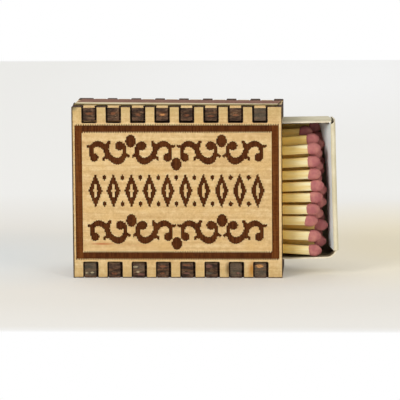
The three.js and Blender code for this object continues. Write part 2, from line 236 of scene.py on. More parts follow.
class Shell:
    """The points and faces of one piece while it is put together, in millimetres."""

    def __init__(self):
        self.points = []
        self.scorch = []
        self.faces = []
        self.skins = []

    def point(self, x, y, z, scorch=0.0):
        self.points.append((x, y, z))
        self.scorch.append(scorch)
        return len(self.points) - 1

    def face(self, corners, skin=0):
        self.faces.append(list(corners))
        self.skins.append(skin)

    def ring(self, loop, next_loop, skin=0):
        """Faces between two closed loops with the same number of points."""
        for i in range(len(loop)):
            self.face((loop[i - 1], loop[i], next_loop[i], next_loop[i - 1]), skin)

    def piece(self, name, finishes, sharp_angle=None, turn=None):
        """The mesh object. With sharp_angle, in degrees, edges bent by less than that are shaded smooth."""
        mesh = bpy.data.meshes.new(name)
        mesh.from_pydata([(x * MM, y * MM, z * MM) for x, y, z in self.points], [], self.faces)
        for finish in finishes:
            mesh.materials.append(finish)
        mesh.polygons.foreach_set("material_index", self.skins)
        layer = mesh.attributes.new("scorch", "FLOAT", "POINT")
        layer.data.foreach_set("value", self.scorch)
        if turn is not None:
            mesh.transform(turn)
        work = bmesh.new()
        work.from_mesh(mesh)
        bmesh.ops.recalc_face_normals(work, faces=work.faces)
        work.to_mesh(mesh)
        work.free()
        if sharp_angle is not None:
            mesh.polygons.foreach_set("use_smooth", [True] * len(mesh.polygons))
            mesh.set_sharp_from_angle(angle=math.radians(sharp_angle))
        piece = bpy.data.objects.new(name, mesh)
        bpy.context.scene.collection.objects.link(piece)
        return piece


def rounded(corners, steps=3):
    """A run of corners, each an x, a height and a radius, with its round corners drawn in."""
    points = []
    for i, (x, z, radius) in enumerate(corners):
        corner = Vector((x, z))
        if radius == 0:
            points.append(corner)
            continue
        before = Vector(corners[i - 1][:2])
        after = Vector(corners[i + 1][:2])
        start = corner + (before - corner).normalized() * radius
        end = corner + (after - corner).normalized() * radius
        for step in range(steps + 1):
            t = step / steps
            points.append(start * (1 - t) ** 2 + corner * 2 * t * (1 - t) + end * t ** 2)
    return points


def slotted_edge(inset, edge, floor, outward):
    """The corners along one slotted edge, from left to right, drawn in by inset."""
    convex = max(land_corner - inset, least_corner)
    concave = slot_corner + inset
    corners = []
    for i in range(slot_count):
        start = panel_left + first_land + i * slot_pitch - inset
        end = start + slot_width + 2 * inset
        top = edge - outward * inset
        bed = floor - outward * inset
        corners += [(start, top, convex), (start, bed, concave), (end, bed, concave), (end, top, convex)]
    return corners


# The engraved frame's margins to the panel's ends, its gaps to the slots and its width. The field
# that holds all the engraving reaches half way from the frame to the slots.
frame_left_margin = 0.78
frame_right_margin = 0.72
frame_top_gap = 0.52
frame_bottom_gap = 0.73
frame_band = 1.86
band_left = panel_left + frame_left_margin
band_right = panel_right - frame_right_margin
band_top = panel_top - slot_depth - frame_top_gap
band_bottom = slot_depth + frame_bottom_gap
field_low = (band_bottom + slot_depth + toasted_ring) / 2
field_high = (band_top + panel_top - slot_depth - toasted_ring) / 2


def broad_outline(inset):
    """The panel's outline as two runs: below the engraved field, and above it from right to left."""
    left = panel_left + inset
    right = panel_right - inset
    convex = max(land_corner - inset, least_corner)
    low = [(left, field_low, 0), (left, inset, convex)]
    low += slotted_edge(inset, 0, slot_depth, -1)
    low += [(right, inset, convex), (right, field_low, 0)]
    top = panel_top - inset
    high = [(right, field_high, 0), (right, top, convex)]
    high += slotted_edge(inset, panel_top, panel_top - slot_depth, 1)[::-1]
    high += [(left, top, convex), (left, field_high, 0)]
    return rounded(low), rounded(high)


# The engraving's shapes: a frame, two rows of scrolls with ovals, and a middle band of lozenges.
scan_pitch = 0.3
comb_tooth = 0.3
fine_tooth = 0.1
engrave_depth = 0.25
ornament_shift = -0.12
oval_width = 2.6
oval_height = 3.25
oval_spacing = 22.66
low_oval_drop = 5.77
upper_oval_gap = 0.56
lower_oval_gap = 0.51
upper_row = band_top - frame_band - upper_oval_gap - oval_height / 2
lower_row = band_bottom + frame_band + lower_oval_gap + oval_height / 2 + low_oval_drop
lozenge_lift = 0.4
band_middle = (upper_row - low_oval_drop + lower_row) / 2 + lozenge_lift
spindle_height = 8.8
spindle_width = 3.5
spindle_pitch = 4.5
spindle_count = 10
slit_height = 4.6
slit_width = 1.0
diamond_size = 1.5
diamond_rise = 3.3
least_gap = 0.1
least_span = 0.42
lower_curl = (-9.18, -4.1, 1.08)
upper_curl = (-2.78, -1.2, 1.15)

# One scroll from its lower curl to its upper one: place from the upper oval beside it, and width.
scroll_stroke = [
    (-9.4, -4.4, 1.3),
    (-9.82, -3.3, 1.08),
    (-9.8, -2.3, 1.05),
    (-9.55, -1.35, 1.2),
    (-8.84, -0.82, 1.42),
    (-7.97, -0.72, 1.55),
    (-6.87, -1.25, 1.45),
    (-6.2, -2.1, 1.42),
    (-5.88, -3.0, 1.4),
    (-5.42, -3.75, 1.4),
    (-4.69, -4.5, 1.52),
    (-3.45, -5.03, 1.76),
    (-2.3, -4.62, 1.58),
    (-1.62, -3.4, 1.15),
    (-1.52, -2.4, 1.08),
    (-1.65, -1.5, 1.08),
    (-2.1, -0.7, 1.05),
]

# The thorns of a scroll, each a tapering stroke from its root over its bend to its tip.
thorn_strokes = [
    [(-9.7, -1.4, 1.1), (-10.5, -1.36, 0.78), (-11.15, -1.2, 0.56)],
    [(-6.1, -1.6, 1.4), (-5.62, -0.7, 1.0), (-5.2, 0.05, 0.66)],
    [(-5.7, -4.0, 1.2), (-6.55, -4.2, 0.76), (-6.98, -4.95, 0.56)],
    [(-1.6, -3.5, 1.1), (-0.8, -3.6, 0.8), (-0.33, -4.05, 0.56)],
]


def smooth_place(points, t):
    """A place on the smooth curve through the points, for t from 0 to their count less one."""
    index = min(int(t), len(points) - 2)
    share = t - index
    last = len(points) - 1
    p0, p1, p2, p3 = (Vector(points[min(max(index + k, 0), last)]) for k in (-1, 0, 1, 2))
    return 0.5 * (2 * p1 + (p2 - p0) * share + (2 * p0 - 5 * p1 + 4 * p2 - p3) * share ** 2
                  + (3 * p1 - p0 - 3 * p2 + p3) * share ** 3)


def stroke_quads(stroke, steps_each=4):
    """A stroke of changing width, as a chain of four-cornered outlines."""
    count = (len(stroke) - 1) * steps_each
    places = [smooth_place(stroke, k / steps_each) for k in range(count + 1)]
    sides = []
    for k, place in enumerate(places):
        along = places[min(k + 1, count)].xy - places[max(k - 1, 0)].xy
        across = Vector((-along.y, along.x)).normalized() * place.z / 2
        sides.append((place.xy + across, place.xy - across))
    return [[a[0], b[0], b[1], a[1]] for a, b in zip(sides, sides[1:])]


def oval(x, z, width, height, sides=28):
    angles = [2 * math.pi * k / sides for k in range(sides)]
    return [Vector((x + width / 2 * math.cos(a), z + height / 2 * math.sin(a))) for a in angles]


def lozenge(x, z, width, height):
    across, rise = width / 2, height / 2
    return [Vector(c) for c in ((x - across, z), (x, z - rise), (x + across, z), (x, z + rise))]


def rectangle(inset):
    left, right = band_left + inset, band_right - inset
    low, high = band_bottom + inset, band_top - inset
    return [Vector(c) for c in ((left, low), (right, low), (right, high), (left, high))]


def scroll_shapes():
    """One scroll's outlines, about the centre of the oval beside it."""
    shapes = stroke_quads(scroll_stroke)
    for thorn in thorn_strokes:
        shapes += stroke_quads(thorn)
    for x, z, radius in (lower_curl, upper_curl):
        shapes.append(oval(x, z, 2 * radius, 2 * radius))
    return shapes


def engraved_shapes():
    """Every engraved shape but the frame, as outlines: a point is engraved if an odd number hold it."""
    shapes = []
    scroll = scroll_shapes()
    for row in (upper_row, lower_row):
        shapes.append([oval(ornament_shift, row - low_oval_drop, oval_width, oval_height)])
        for x in (ornament_shift - oval_spacing / 2, ornament_shift + oval_spacing / 2):
            shapes.append([oval(x, row, oval_width, oval_height)])
            for side in (1, -1):
                shapes += [[[Vector((x + side * p.x, row + p.y)) for p in outline]] for outline in scroll]
    for i in range(spindle_count):
        x = ornament_shift + (i - (spindle_count - 1) / 2) * spindle_pitch
        shapes.append([
            lozenge(x, band_middle, spindle_width, spindle_height),
            lozenge(x, band_middle, slit_width, slit_height),
        ])
        if i > 0:
            between = x - spindle_pitch / 2
            shapes.append([lozenge(between, band_middle + diamond_rise, diamond_size, diamond_size)])
            shapes.append([lozenge(between, band_middle - diamond_rise, diamond_size, diamond_size)])
    return shapes


def engraved_spans(shapes, x, shift):
    """The engraved stretches on the upright line at x, from the lowest up, all shifted a little."""
    spans = []
    for outlines in shapes:
        crossings = []
        for outline in outlines:
            for a, b in zip(outline, outline[1:] + outline[:1]):
                if (a.x <= x) != (b.x <= x):
                    crossings.append(a.y + (b.y - a.y) * (x - a.x) / (b.x - a.x))
        crossings.sort()
        spans += list(zip(crossings[::2], crossings[1::2]))
    joined = []
    for low, high in sorted(spans):
        if joined and low < joined[-1][1] + least_gap:
            joined[-1][1] = max(joined[-1][1], high)
        else:
            joined.append([low, high])
    return [(round(a + shift, 4), round(b + shift, 4)) for a, b in joined if b - a > least_span]


def engraved_field(shell, low_run, high_run):
    """The engraved middle of the face, column by column, joined to the runs of points round it."""
    left = shell.points[low_run[0]][0]
    right = shell.points[low_run[-1]][0]
    columns = round((right - left) / scan_pitch)
    edges = [left + (right - left) * k / columns for k in range(columns + 1)]
    shapes = engraved_shapes()
    border = [[rectangle(0), rectangle(frame_band)]]
    spans = []
    for k in range(columns):
        middle = (edges[k] + edges[k + 1]) / 2
        side = 0.5 if k % 2 else -0.5
        column = engraved_spans(shapes, middle, side * fine_tooth)
        column += engraved_spans(border, middle, side * comb_tooth)
        spans.append(sorted(column))
    heights = []
    for k in range(columns + 1):
        marks = {field_low, field_high}
        for column in (k - 1, k):
            if 0 <= column < columns:
                marks.update(end for span in spans[column] for end in span)
        heights.append(sorted(marks))
    known = {
        (0, field_low, 0): low_run[0],
        (columns, field_low, 0): low_run[-1],
        (columns, field_high, 0): high_run[0],
        (0, field_high, 0): high_run[-1],
    }

    def corner(edge, height, level):
        key = (edge, height, level)
        if key not in known:
            known[key] = shell.point(edges[edge], face_front + level * engrave_depth, height)
        return known[key]

    def is_cut(column, height):
        return any(low < height < high for low, high in spans[column])

    band_inner_left = band_left + frame_band
    band_inner_right = band_right - frame_band
    for k in range(columns):
        ends = [field_low] + [end for span in spans[k] for end in span] + [field_high]
        middle = (edges[k] + edges[k + 1]) / 2
        in_side_band = not band_inner_left < middle < band_inner_right
        for order, (low, high) in enumerate(zip(ends, ends[1:])):
            level = order % 2
            up = [corner(k, h, level) for h in heights[k] if low <= h <= high]
            down = [corner(k + 1, h, level) for h in heights[k + 1] if low <= h <= high]
            sunk_skin = side_floor_skin if in_side_band else floor_skin
            shell.face(up + down[::-1], sunk_skin if level else face_skin)
            if order > 0:
                sill = [(k, 0), (k + 1, 0), (k + 1, 1), (k, 1)]
                shell.face([corner(edge, low, depth) for edge, depth in sill], floor_skin)
    for k in range(1, columns):
        for low, high in zip(heights[k], heights[k][1:]):
            middle = (low + high) / 2
            if is_cut(k - 1, middle) != is_cut(k, middle):
                jamb = [(low, 0), (high, 0), (high, 1), (low, 1)]
                shell.face([corner(k, height, depth) for height, depth in jamb], floor_skin)
    foot = [known[(k, field_low, 0)] for k in range(columns - 1, 0, -1)]
    head = [known[(k, field_high, 0)] for k in range(1, columns)]
    shell.face(low_run + foot, face_skin)
    shell.face(high_run + head, face_skin)


def broad_panel(name, finishes, engraved, turn=None):
    """A broad panel with its outer face to the front. Its skins are face, burnt wall and engraving."""
    shell = Shell()
    ply = face_rear - face_front

    def runs(inset, depth, scorch):
        """The points of the outline's two runs, drawn in by inset, so deep behind the face."""
        y = face_front + depth
        return [[shell.point(p.x, y, p.y, scorch) for p in run] for run in broad_outline(inset)]

    low_run, high_run = runs(toasted_ring, 0, 0.0)
    before = low_run + high_run
    levels = [(0, edge_bevel, face_skin)]
    for level in range(wall_levels + 1):
        levels.append((edge_bevel + (ply - 2 * edge_bevel) * (level / wall_levels), 0, wall_skin))
    levels.append((ply, edge_bevel, wall_skin))
    for depth, inset, skin in levels:
        low, high = runs(inset, depth, 1.0)
        shell.ring(before, low + high, skin)
        before = low + high
    low, high = runs(toasted_ring, ply, 0.0)
    shell.ring(before, low + high, face_skin)
    shell.face(low + high, face_skin)
    if engraved:
        engraved_field(shell, low_run, high_run)
    else:
        shell.face(low_run + high_run, face_skin)
    return shell.piece(name, finishes, turn=turn)


def engraved_finish(name, dark, light, speck):
    """The floor of the engraving, browned by the laser, with the scan's fine upright lines."""
    floor = Finish(name, roughness=0.85, specular=0.15)
    lines = floor.noise((1 / scan_pitch, 0.4, 0.12), detail=1)
    grain = floor.noise((0.4, 1, 3.0), detail=4)
    grit = floor.noise((2.6, 2.6, 2.6), detail=2, offset=(4, 4, 4))
    colour = floor.mix(floor.between(grain, 0.35, 0.68), dark, light)
    colour = floor.tint(colour, lines, 0.4, 0.6, 0.4, speck)
    colour = floor.tint(colour, grit, 0.56, 0.72, 0.4, speck)
    return floor.finish(colour, floor.number("ADD", lines, grain), relief=0.06)


resin_streak = srgb(190, 110, 60)
smear_brown = srgb(120, 86, 50)
smear_yellow = srgb(190, 126, 44)
corner_grey = srgb(104, 98, 74)
pale_birch = srgb(246, 218, 166)
soot = srgb(178, 158, 96)
front_birch = birch_finish("birch_front", stains=[
    ((-18.9, face_front, 8.6), (3.4, 1, 0.36), 1.1, resin_streak),
    ((12.7, face_front, 2.2), (1.0, 1, 2.4), 1.4, smear_brown),
    ((18.6, face_front, 2.0), (1.25, 1, 2.8), 1.4, smear_yellow),
    ((-10.0, face_front, 8.2), (6.0, 1, 0.4), 0.25, resin_streak),
    ((-25.9, face_front, 42.7), (1.5, 1, 0.9), 1.2, corner_grey),
    ((panel_right - 0.55, face_front, 22.0), (0.35, 1, 24.0), 1.0, pale_birch),
    ((0.0, face_front, 42.2), (90.0, 1, 3.6), 0.4, soot),
    ((0.0, face_front, 1.2), (90.0, 1, 3.4), 0.3, soot),
], burnt_rims=[
    ("X", panel_left, panel_left + 0.45),
    ("X", panel_right, panel_right - 0.16),
    ("Z", 0.0, 0.36),
])
burnt_depth_wall = burnt_wall("burnt_panel_wall", face_front, face_rear)
engraving = engraved_finish("engraving", srgb(62, 26, 2), srgb(82, 38, 5), srgb(116, 66, 26))
side_engraving = engraved_finish("engraving_side", srgb(84, 40, 6), srgb(106, 54, 13), srgb(132, 80, 34))
front_panel = broad_panel(
    "front_panel_engraved",
    [front_birch, burnt_depth_wall, engraving, side_engraving],
    engraved=True,
)
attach(front_panel, "sleeve")
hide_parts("front_panel")


# Back panel: the other broad side, cut like the front one and turned half round, so that its
# slots lie nearer the other end. It is bare plywood, with no engraving.
half_turn = Matrix.Rotation(math.pi, 4, "Z")
back_panel = broad_panel(
    "back_panel_plain",
    [birch_finish("birch_back"), burnt_wall("burnt_back_wall", -face_rear, -face_front)],
    engraved=False,
    turn=half_turn,
)
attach(back_panel, "sleeve")
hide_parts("back_panel")


# Top and bottom panels: narrow strips of the same plywood between the broad ones. Their tabs
# fill the slots, and show their burnt ends there with the veneers of the plywood.
kerf_gap = 0.36
kerf_depth = 1.2
kerf_stop = 0.05
tab_recess = 0.06
tab_corner = 0.12
tab_root_corner = 0.1
tab_end_steps = 9
tab_levels = 14
sanded_left = 0.28
sanded_right = 0.5
sanded_slope = 0.8
sanded_reach = 1.2
veneers = 5
veneer_step = 0.06
char_reach = 0.5
char_relief = 0.05
chip_relief = 0.28
splinter_y = -6.6
splinter_length = 3.4
splinter_width = 0.8
splinter_height = 0.34


def tab_edge(inner, outer, inset, shift):
    """The corners along the tabs at the front, from left to right: x, y and radius.

    A step behind each tab's end closes the kerf, so that no light shows through it.
    """
    convex = max(tab_corner - inset, least_corner)
    concave = tab_root_corner + inset
    root = -inner + inset
    tip = -outer + inset
    step = tip + kerf_depth
    corners = []
    for i in range(slot_count):
        start = panel_left + first_land + i * slot_pitch + kerf_gap + shift + inset
        end = start + slot_width - 2 * kerf_gap - 2 * inset
        wide_start = start - kerf_gap - shift + kerf_stop
        wide_end = end + kerf_gap - shift - kerf_stop
        corners += [(wide_start, root, concave), (wide_start, step, 0)]
        corners += [(start, step, 0), (start, tip, convex)]
        corners += [(start + (end - start) * k / tab_end_steps, tip, 0) for k in range(1, tab_end_steps)]
        corners += [(end, tip, convex), (end, step, 0), (wide_end, step, 0), (wide_end, root, concave)]
    return corners


def narrow_outline(inset, shift):
    """The panel's outline in X and Y, with the same tabs at the front and, turned, at the rear."""
    inner = -face_rear
    outer = -face_front - tab_recess
    convex = max(land_corner - inset, least_corner)
    left = panel_left + inset
    right = panel_right - inset
    front = [(left, 0, 0), (left, -inner + inset, convex)]
    front += tab_edge(inner, outer, inset, shift)
    front += [(right, -inner + inset, convex)]
    rear = [(-x, -y, radius) for x, y, radius in front]
    return rounded(front + [(right, 0, 0)])[:-1] + rounded(rear + [(left, 0, 0)])[:-1]


def tab_middle(tab):
    return panel_left + first_land + slot_width / 2 + tab * slot_pitch


def char_depth(x, z, low, high, seed, chipped):
    """How far the burnt end of a tab lies back at this place."""
    tab = round((x - panel_left - first_land - slot_width / 2) / slot_pitch)
    share = (z - low) / (high - low)
    veneer = min(int(share * veneers), veneers - 1)
    step = veneer_step * abs(noise.noise(Vector((tab * 3.7 + seed, veneer * 2.3, seed))))
    char = char_relief * (0.5 + noise.noise(Vector((x * 2.2, z * 3.4, seed))))
    chip = 0.0
    if tab in chipped:
        edge = abs(2 * share - 1) ** 3 + 0.25
        chip = chip_relief * edge * max(0, noise.noise(Vector((x * 1.1, z * 1.4, seed + 9))) + 0.15)
    return max(0.0, step + char + chip)


def sanded_height(x):
    """How much of the upper edge of a front tab is broken at this place."""
    return sanded_left + (sanded_right - sanded_left) * (x - panel_left) / (panel_right - panel_left)


def splinter(shell, x, y, foot):
    """A charred splinter that stands up from the left edge of a panel."""
    near, far = y + 0.2 * splinter_length, y + 0.8 * splinter_length
    base = [(x, y), (x + splinter_width, near), (x + splinter_width, far), (x, y + splinter_length)]
    crest = [(x + 0.1, near), (x + 0.5 * splinter_width, y + 0.4 * splinter_length), (x + 0.1, far)]
    low = [shell.point(px, py, foot) for px, py in base]
    high = [shell.point(px, py, foot + splinter_height) for px, py in crest]
    shell.face(high, wall_skin)
    shell.face(low, wall_skin)
    shell.face((low[0], low[1], high[1], high[0]), wall_skin)
    shell.face((low[1], low[2], high[1]), wall_skin)
    shell.face((low[2], low[3], high[2], high[1]), wall_skin)
    shell.face((low[3], low[0], high[0], high[2]), wall_skin)


def narrow_panel(name, low, high, finishes, seed, shift, chipped=(), sanded=False):
    """A narrow panel, flat in X and Y. Its skins are the veneer's face and the burnt wall.

    If sanded, the upper edges of its front tabs are broken, more so towards the right.
    """
    shell = Shell()

    def loop(inset, height, scorch, relief=False):
        indices = []
        for p in narrow_outline(inset, shift):
            side = -1 if p.y < 0 else 1
            depth = 0.0
            if relief and abs(p.y) > -face_front - tab_recess - char_reach:
                depth = char_depth(p.x if side < 0 else -p.x, height, low, high, seed + side, chipped)
            z = height
            if sanded and p.y < face_front + sanded_reach / 2:
                if inset > 0 and height == high:
                    depth += sanded_slope * sanded_height(p.x)
                elif height < high:
                    z = low + (height - low) * (1 - sanded_height(p.x) / (high - low))
            indices.append(shell.point(p.x, p.y - side * depth, z, scorch))
        return indices

    inner = loop(toasted_ring, low, 0.0)
    shell.face(inner, face_skin)
    before = loop(edge_bevel, low, 1.0)
    shell.ring(inner, before, face_skin)
    for level in range(tab_levels + 1):
        height = low + edge_bevel + (high - low - 2 * edge_bevel) * level / tab_levels
        row = loop(0, height, 1.0, relief=True)
        shell.ring(before, row, wall_skin)
        before = row
    edge = loop(edge_bevel, high, 0.0)
    for i in range(len(edge)):
        is_sanded = sanded and shell.points[edge[i]][1] < face_front + sanded_reach
        if is_sanded:
            shell.scorch[before[i]] = 0.0
        skin = face_skin if is_sanded else wall_skin
        shell.face((before[i - 1], before[i], edge[i], edge[i - 1]), skin)
    inner = loop(toasted_ring, high, 0.0)
    shell.ring(edge, inner, face_skin)
    shell.face(inner, face_skin)
    if sanded:
        splinter(shell, panel_left + 0.02, splinter_y, high - 0.02)
    return shell.piece(name, finishes)


def tab_end_finish(name, low, high, patches):
    """The burnt ends of the tabs, with veneers as bands and small patches of other colours.

    Each patch is the number of a tab from the left, its place from the tab's middle and its height,
    radii in X and Z, and a colour. A patch that covers the whole end is fainter than a small one.
    """
    burnt, colour, specks = burnt_finish(name, "Z", low, high, (0.8, 1.0, 2.6))
    whole_end = 1.5
    faint, strong = 0.35, 0.6
    ragged = burnt.between(burnt.noise((1.6, 1.6, 5.5), detail=3, offset=(6, 1, 9)), 0.4, 0.6, 0.15, 1.5)
    for tab, shift, height, radius, rise, patch_colour in patches:
        centre = (tab_middle(tab) + shift, face_front, height)
        share = burnt.number("MULTIPLY", burnt.spot(centre, (radius, 2, rise)), 1.5)
        most = strong if radius < whole_end else faint
        share = burnt.number("MINIMUM", burnt.number("MULTIPLY", share, ragged), most)
        colour = burnt.mix(share, colour, patch_colour)
    return burnt.finish(colour, specks, relief=0.06)


plain_birch = birch_finish("birch_narrow")
top_low, top_high = (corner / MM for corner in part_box("top_panel"))
bottom_low, bottom_high = (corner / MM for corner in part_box("bottom_panel"))
ember = srgb(150, 92, 60)
bright_ember = srgb(240, 170, 100)
pink_char = srgb(142, 94, 82)
ash = srgb(112, 106, 88)
pale_fleck = srgb(214, 198, 158)
bottom_ends = tab_end_finish("burnt_tabs_bottom", bottom_low.z, bottom_high.z, patches=[
    (0, 0.0, 2.2, 2.2, 2.0, ash),
    (0, 0.4, 1.3, 0.6, 0.25, pale_fleck),
    (0, -1.1, 1.2, 0.5, 0.2, pale_fleck),
    (1, -0.2, 1.1, 0.9, 0.4, ember),
    (2, 0.0, 2.4, 1.8, 1.2, ash),
    (2, -1.0, 2.8, 0.8, 0.25, pale_fleck),
    (2, -0.4, 1.5, 0.5, 0.3, pale_fleck),
    (2, 0.4, 0.9, 1.2, 0.4, pink_char),
    (3, -0.2, 2.9, 1.0, 0.35, ember),
    (3, -0.3, 1.1, 0.7, 0.3, ember),
    (4, -0.3, 3.2, 1.1, 0.25, ember),
    (4, -0.3, 1.2, 0.9, 0.3, pink_char),
    (5, -0.8, 3.0, 1.0, 0.5, pink_char),
    (5, -0.8, 1.2, 1.1, 0.3, ash),
    (6, -0.3, 2.0, 2.2, 2.0, ash),
    (6, 0.4, 1.2, 0.7, 0.3, pink_char),
    (7, 0.0, 1.8, 2.2, 2.0, ash),
    (7, -0.3, 3.0, 1.2, 0.55, bright_ember),
])
top_ends = tab_end_finish("burnt_tabs_top", top_low.z, top_high.z, patches=[
    (0, 0.1, 41.3, 1.2, 0.4, ember),
    (1, -0.1, 41.3, 0.8, 0.45, ember),
    (2, 0.1, 41.0, 0.8, 0.4, ember),
    (3, 0.1, 41.0, 1.2, 0.5, ember),
    (3, 0.1, 41.0, 0.7, 0.3, bright_ember),
    (4, 0.0, 40.8, 0.9, 0.4, ember),
    (5, 0.0, 40.6, 1.0, 0.35, ember),
    (6, 0.0, 40.9, 1.0, 0.35, ember),
    (7, 0.0, 41.0, 2.8, 2.6, ash),
])
bottom_panel = narrow_panel(
    "bottom_panel_tabbed", bottom_low.z, bottom_high.z, [plain_birch, bottom_ends], seed=3.1, shift=-0.12,
)
top_panel = narrow_panel(
    "top_panel_tabbed", top_low.z, top_high.z, [plain_birch, top_ends], seed=7.4, shift=0.0,
    chipped=(7,), sanded=True,
)
for panel, node in ((bottom_panel, "bottom_panel"), (top_panel, "top_panel")):
    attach(panel, "sleeve")
    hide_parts(node)


# Striker strip: a piece of thin card, glued a little askew along the top panel. Its friction
# compound is a matt maroon band that leaves a bare margin of card along the front and the ends.
strip_low, strip_high = (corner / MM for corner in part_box("striker_strip"))
strip_turn = math.radians(-2.9)
strip_shift = -1.4
strip_width = 13.2
strip_end_gap = 0.7
strip_half_length = (panel_right - panel_left) / 2 - strip_end_gap
coat_thickness = 0.04
coat_bevel = 0.05
coat_end_margin = 0.2
coat_rear_margin = 0.35
coat_margin_left = 4.0
coat_margin_right = 1.9
strip_bulge_left = 1.4
strip_bulge_right = 0.6
strip_steps = 60
card_skin, coat_skin, shaded_cut_skin = range(3)


def on_strip(along, across):
    """A place on the strip in X and Y, from its middle line and its middle."""
    return (
        along * math.cos(strip_turn) - across * math.sin(strip_turn),
        along * math.sin(strip_turn) + across * math.cos(strip_turn) + strip_shift,
    )


def strip_shell():
    """The strip with its coat. Its front edge bulges, least at its left end."""
    shell = Shell()
    card_top = strip_high.z - coat_thickness
    half = strip_width / 2
    coat_left = -strip_half_length + coat_end_margin
    skins = [shaded_cut_skin, card_skin, shaded_cut_skin, card_skin, coat_skin, coat_skin, coat_skin, card_skin]
    rows = []
    for k in range(strip_steps + 1):
        along = -strip_half_length + 2 * strip_half_length * k / strip_steps
        share = (along + strip_half_length) / (2 * strip_half_length)
        bulge = strip_bulge_left + (strip_bulge_right - strip_bulge_left) * share
        card_front = -half - min(1.0, 5 * share) * bulge
        ragged = 0.09 * noise.noise(Vector((along * 1.3, 2.0, 0.5)))
        coat_front = -half + coat_margin_left * (1 - share) + coat_margin_right * share + ragged
        coat_rear = half - coat_rear_margin - 0.1 * noise.noise(Vector((along * 1.1, 8.0, 0.5)))
        x_coat = max(along, coat_left)
        corners = [
            (along, card_front, strip_low.z),
            (along, half, strip_low.z),
            (along, half, card_top),
            (x_coat, coat_rear, card_top),
            (x_coat, coat_rear - coat_bevel, strip_high.z),
            (x_coat, coat_front + coat_bevel, strip_high.z),
            (x_coat, coat_front, card_top),
            (along, card_front, card_top),
        ]
        rows.append([shell.point(*on_strip(x, across), z) for x, across, z in corners])
    for row, next_row in zip(rows, rows[1:]):
        for i, skin in enumerate(skins):
            shell.face((row[i - 1], row[i], next_row[i], next_row[i - 1]), skin)
    shell.face(rows[0], shaded_cut_skin)
    shell.face(rows[-1], shaded_cut_skin)
    return shell


def card_finish(name, pale, dull):
    """Matt box card, a little cloudy and flecked with darker fibres."""
    card = Finish(name, roughness=0.75, specular=0.25)
    cloud = card.noise((0.22, 0.22, 0.22), detail=4)
    fibres = card.noise((3.5, 3.5, 3.5), detail=3, offset=(1, 6, 2))
    colour = card.mix(card.between(cloud, 0.4, 0.66), pale, dull)
    colour = card.tint(colour, fibres, 0.5, 0.8, 0.25, srgb(180, 168, 142))
    return card.finish(colour, fibres, relief=0.02)


def striker_finish(name):
    """Dried friction compound: matt maroon, streaky along the strip and gritty."""
    coat = Finish(name, roughness=0.9, specular=0.2)
    streaks = coat.noise((0.35, 1.4, 1.4), detail=4)
    grit = coat.noise((7, 7, 7), detail=2, offset=(3, 3, 3))
    colour = coat.ramp(streaks, [
        (0.32, srgb(134, 92, 78)),
        (0.50, srgb(158, 114, 96)),
        (0.68, srgb(172, 130, 108)),
    ])
    colour = coat.tint(colour, grit, 0.45, 0.7, 0.45, srgb(120, 80, 68))
    return coat.finish(colour, grit, relief=0.05)


strip_card = card_finish("strip_card", srgb(250, 234, 194), srgb(236, 216, 172))
# The card's cut edges are painted dark olive: painted shade under the strip's front edge.
strip_cut_edge_shaded = card_finish("strip_cut_edge_shaded", srgb(132, 116, 68), srgb(106, 92, 54))
strip_finishes = [strip_card, striker_finish("friction_compound"), strip_cut_edge_shaded]
striker_strip = strip_shell().piece("striker_strip_coated", strip_finishes)
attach(striker_strip, "sleeve")
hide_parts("striker_strip")


# The box isn't quite true: the top panel with its strip sits low behind, most of all at the right,
# so that the back panel stands a little proud, and all the rear ends at the right are cut short.
land_rise_left = 0.12
land_rise_right = -0.22
rear_drop = 0.25
rear_right_drop = 0.5
short_end = 0.36
short_end_reach = 4.0
land_foot = 30.0
for panel in (front_panel, back_panel, bottom_panel, top_panel, striker_strip):
    for vertex in panel.data.vertices:
        x, y, z = (place / MM for place in vertex.co)
        to_right = min(max((x - panel_left) / (panel_right - panel_left), 0.0), 1.0)
        to_rear = min(max((y - face_front) / (-2 * face_front), 0.0), 1.0)
        if panel is back_panel:
            rise = land_rise_left + (land_rise_right - land_rise_left) * to_right
            vertex.co.z += rise * MM * max(0.0, (z - land_foot) / (panel_top - land_foot))
        if panel in (top_panel, striker_strip):
            vertex.co.z -= (rear_drop + rear_right_drop * to_right) * to_rear * MM
        end_share = max(0.0, (x - panel_right + short_end_reach) / short_end_reach)
        vertex.co.x -= short_end * end_share * to_rear * MM


# Tray: folded from one blank of thin card. Its long walls are one layer, and each end wall folds
# over at the rim and down inside again, with the long walls' corner tabs tucked in between.
# It is worn out of square: its lower right corner is round, and its right end stands open.
tray_low, tray_high = (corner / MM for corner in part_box("tray"))
card_thickness = 0.38
fold_gap = 0.05
tray_length = 50.48
tray_out = 13.4
end_thickness = 3 * card_thickness + 2 * fold_gap
fold_radius = end_thickness / 2
base_left = tray_out - tray_length / 2
base_right = tray_out + tray_length / 2
tray_depth = tray_high.y - tray_low.y
wall_height = tray_depth - fold_radius
left_lean = math.radians(1.5)
right_rim = 40.15
right_rim_lean = 0.8
right_rim_bow = 0.05
right_foot_lean = 0.35
right_wall_bow = 0.35
fold_bend = 0.5
bend_radius = 0.3
corner_round = 2.5
upper_wall_gap = 0.6
upper_wall_bow = 0.12
upper_wall_rise = 0.42
upper_wall_sag = 0.08
lower_wall_rise = 0.35
lower_rise_start = 24
wall_columns = 30
corner_columns = 8
wall_steps = 7
fold_steps = 9
end_wall_stations = 18
end_wall_lift = 0.3
end_wall_round = corner_round - 0.5
inner_layer_lift = 0.25
inner_layer_gap = 0.05
flap_foot = 4.0
tray_skin, edge_skin, lit_flap_skin, inner_grey_and_shaded_skin = range(4)


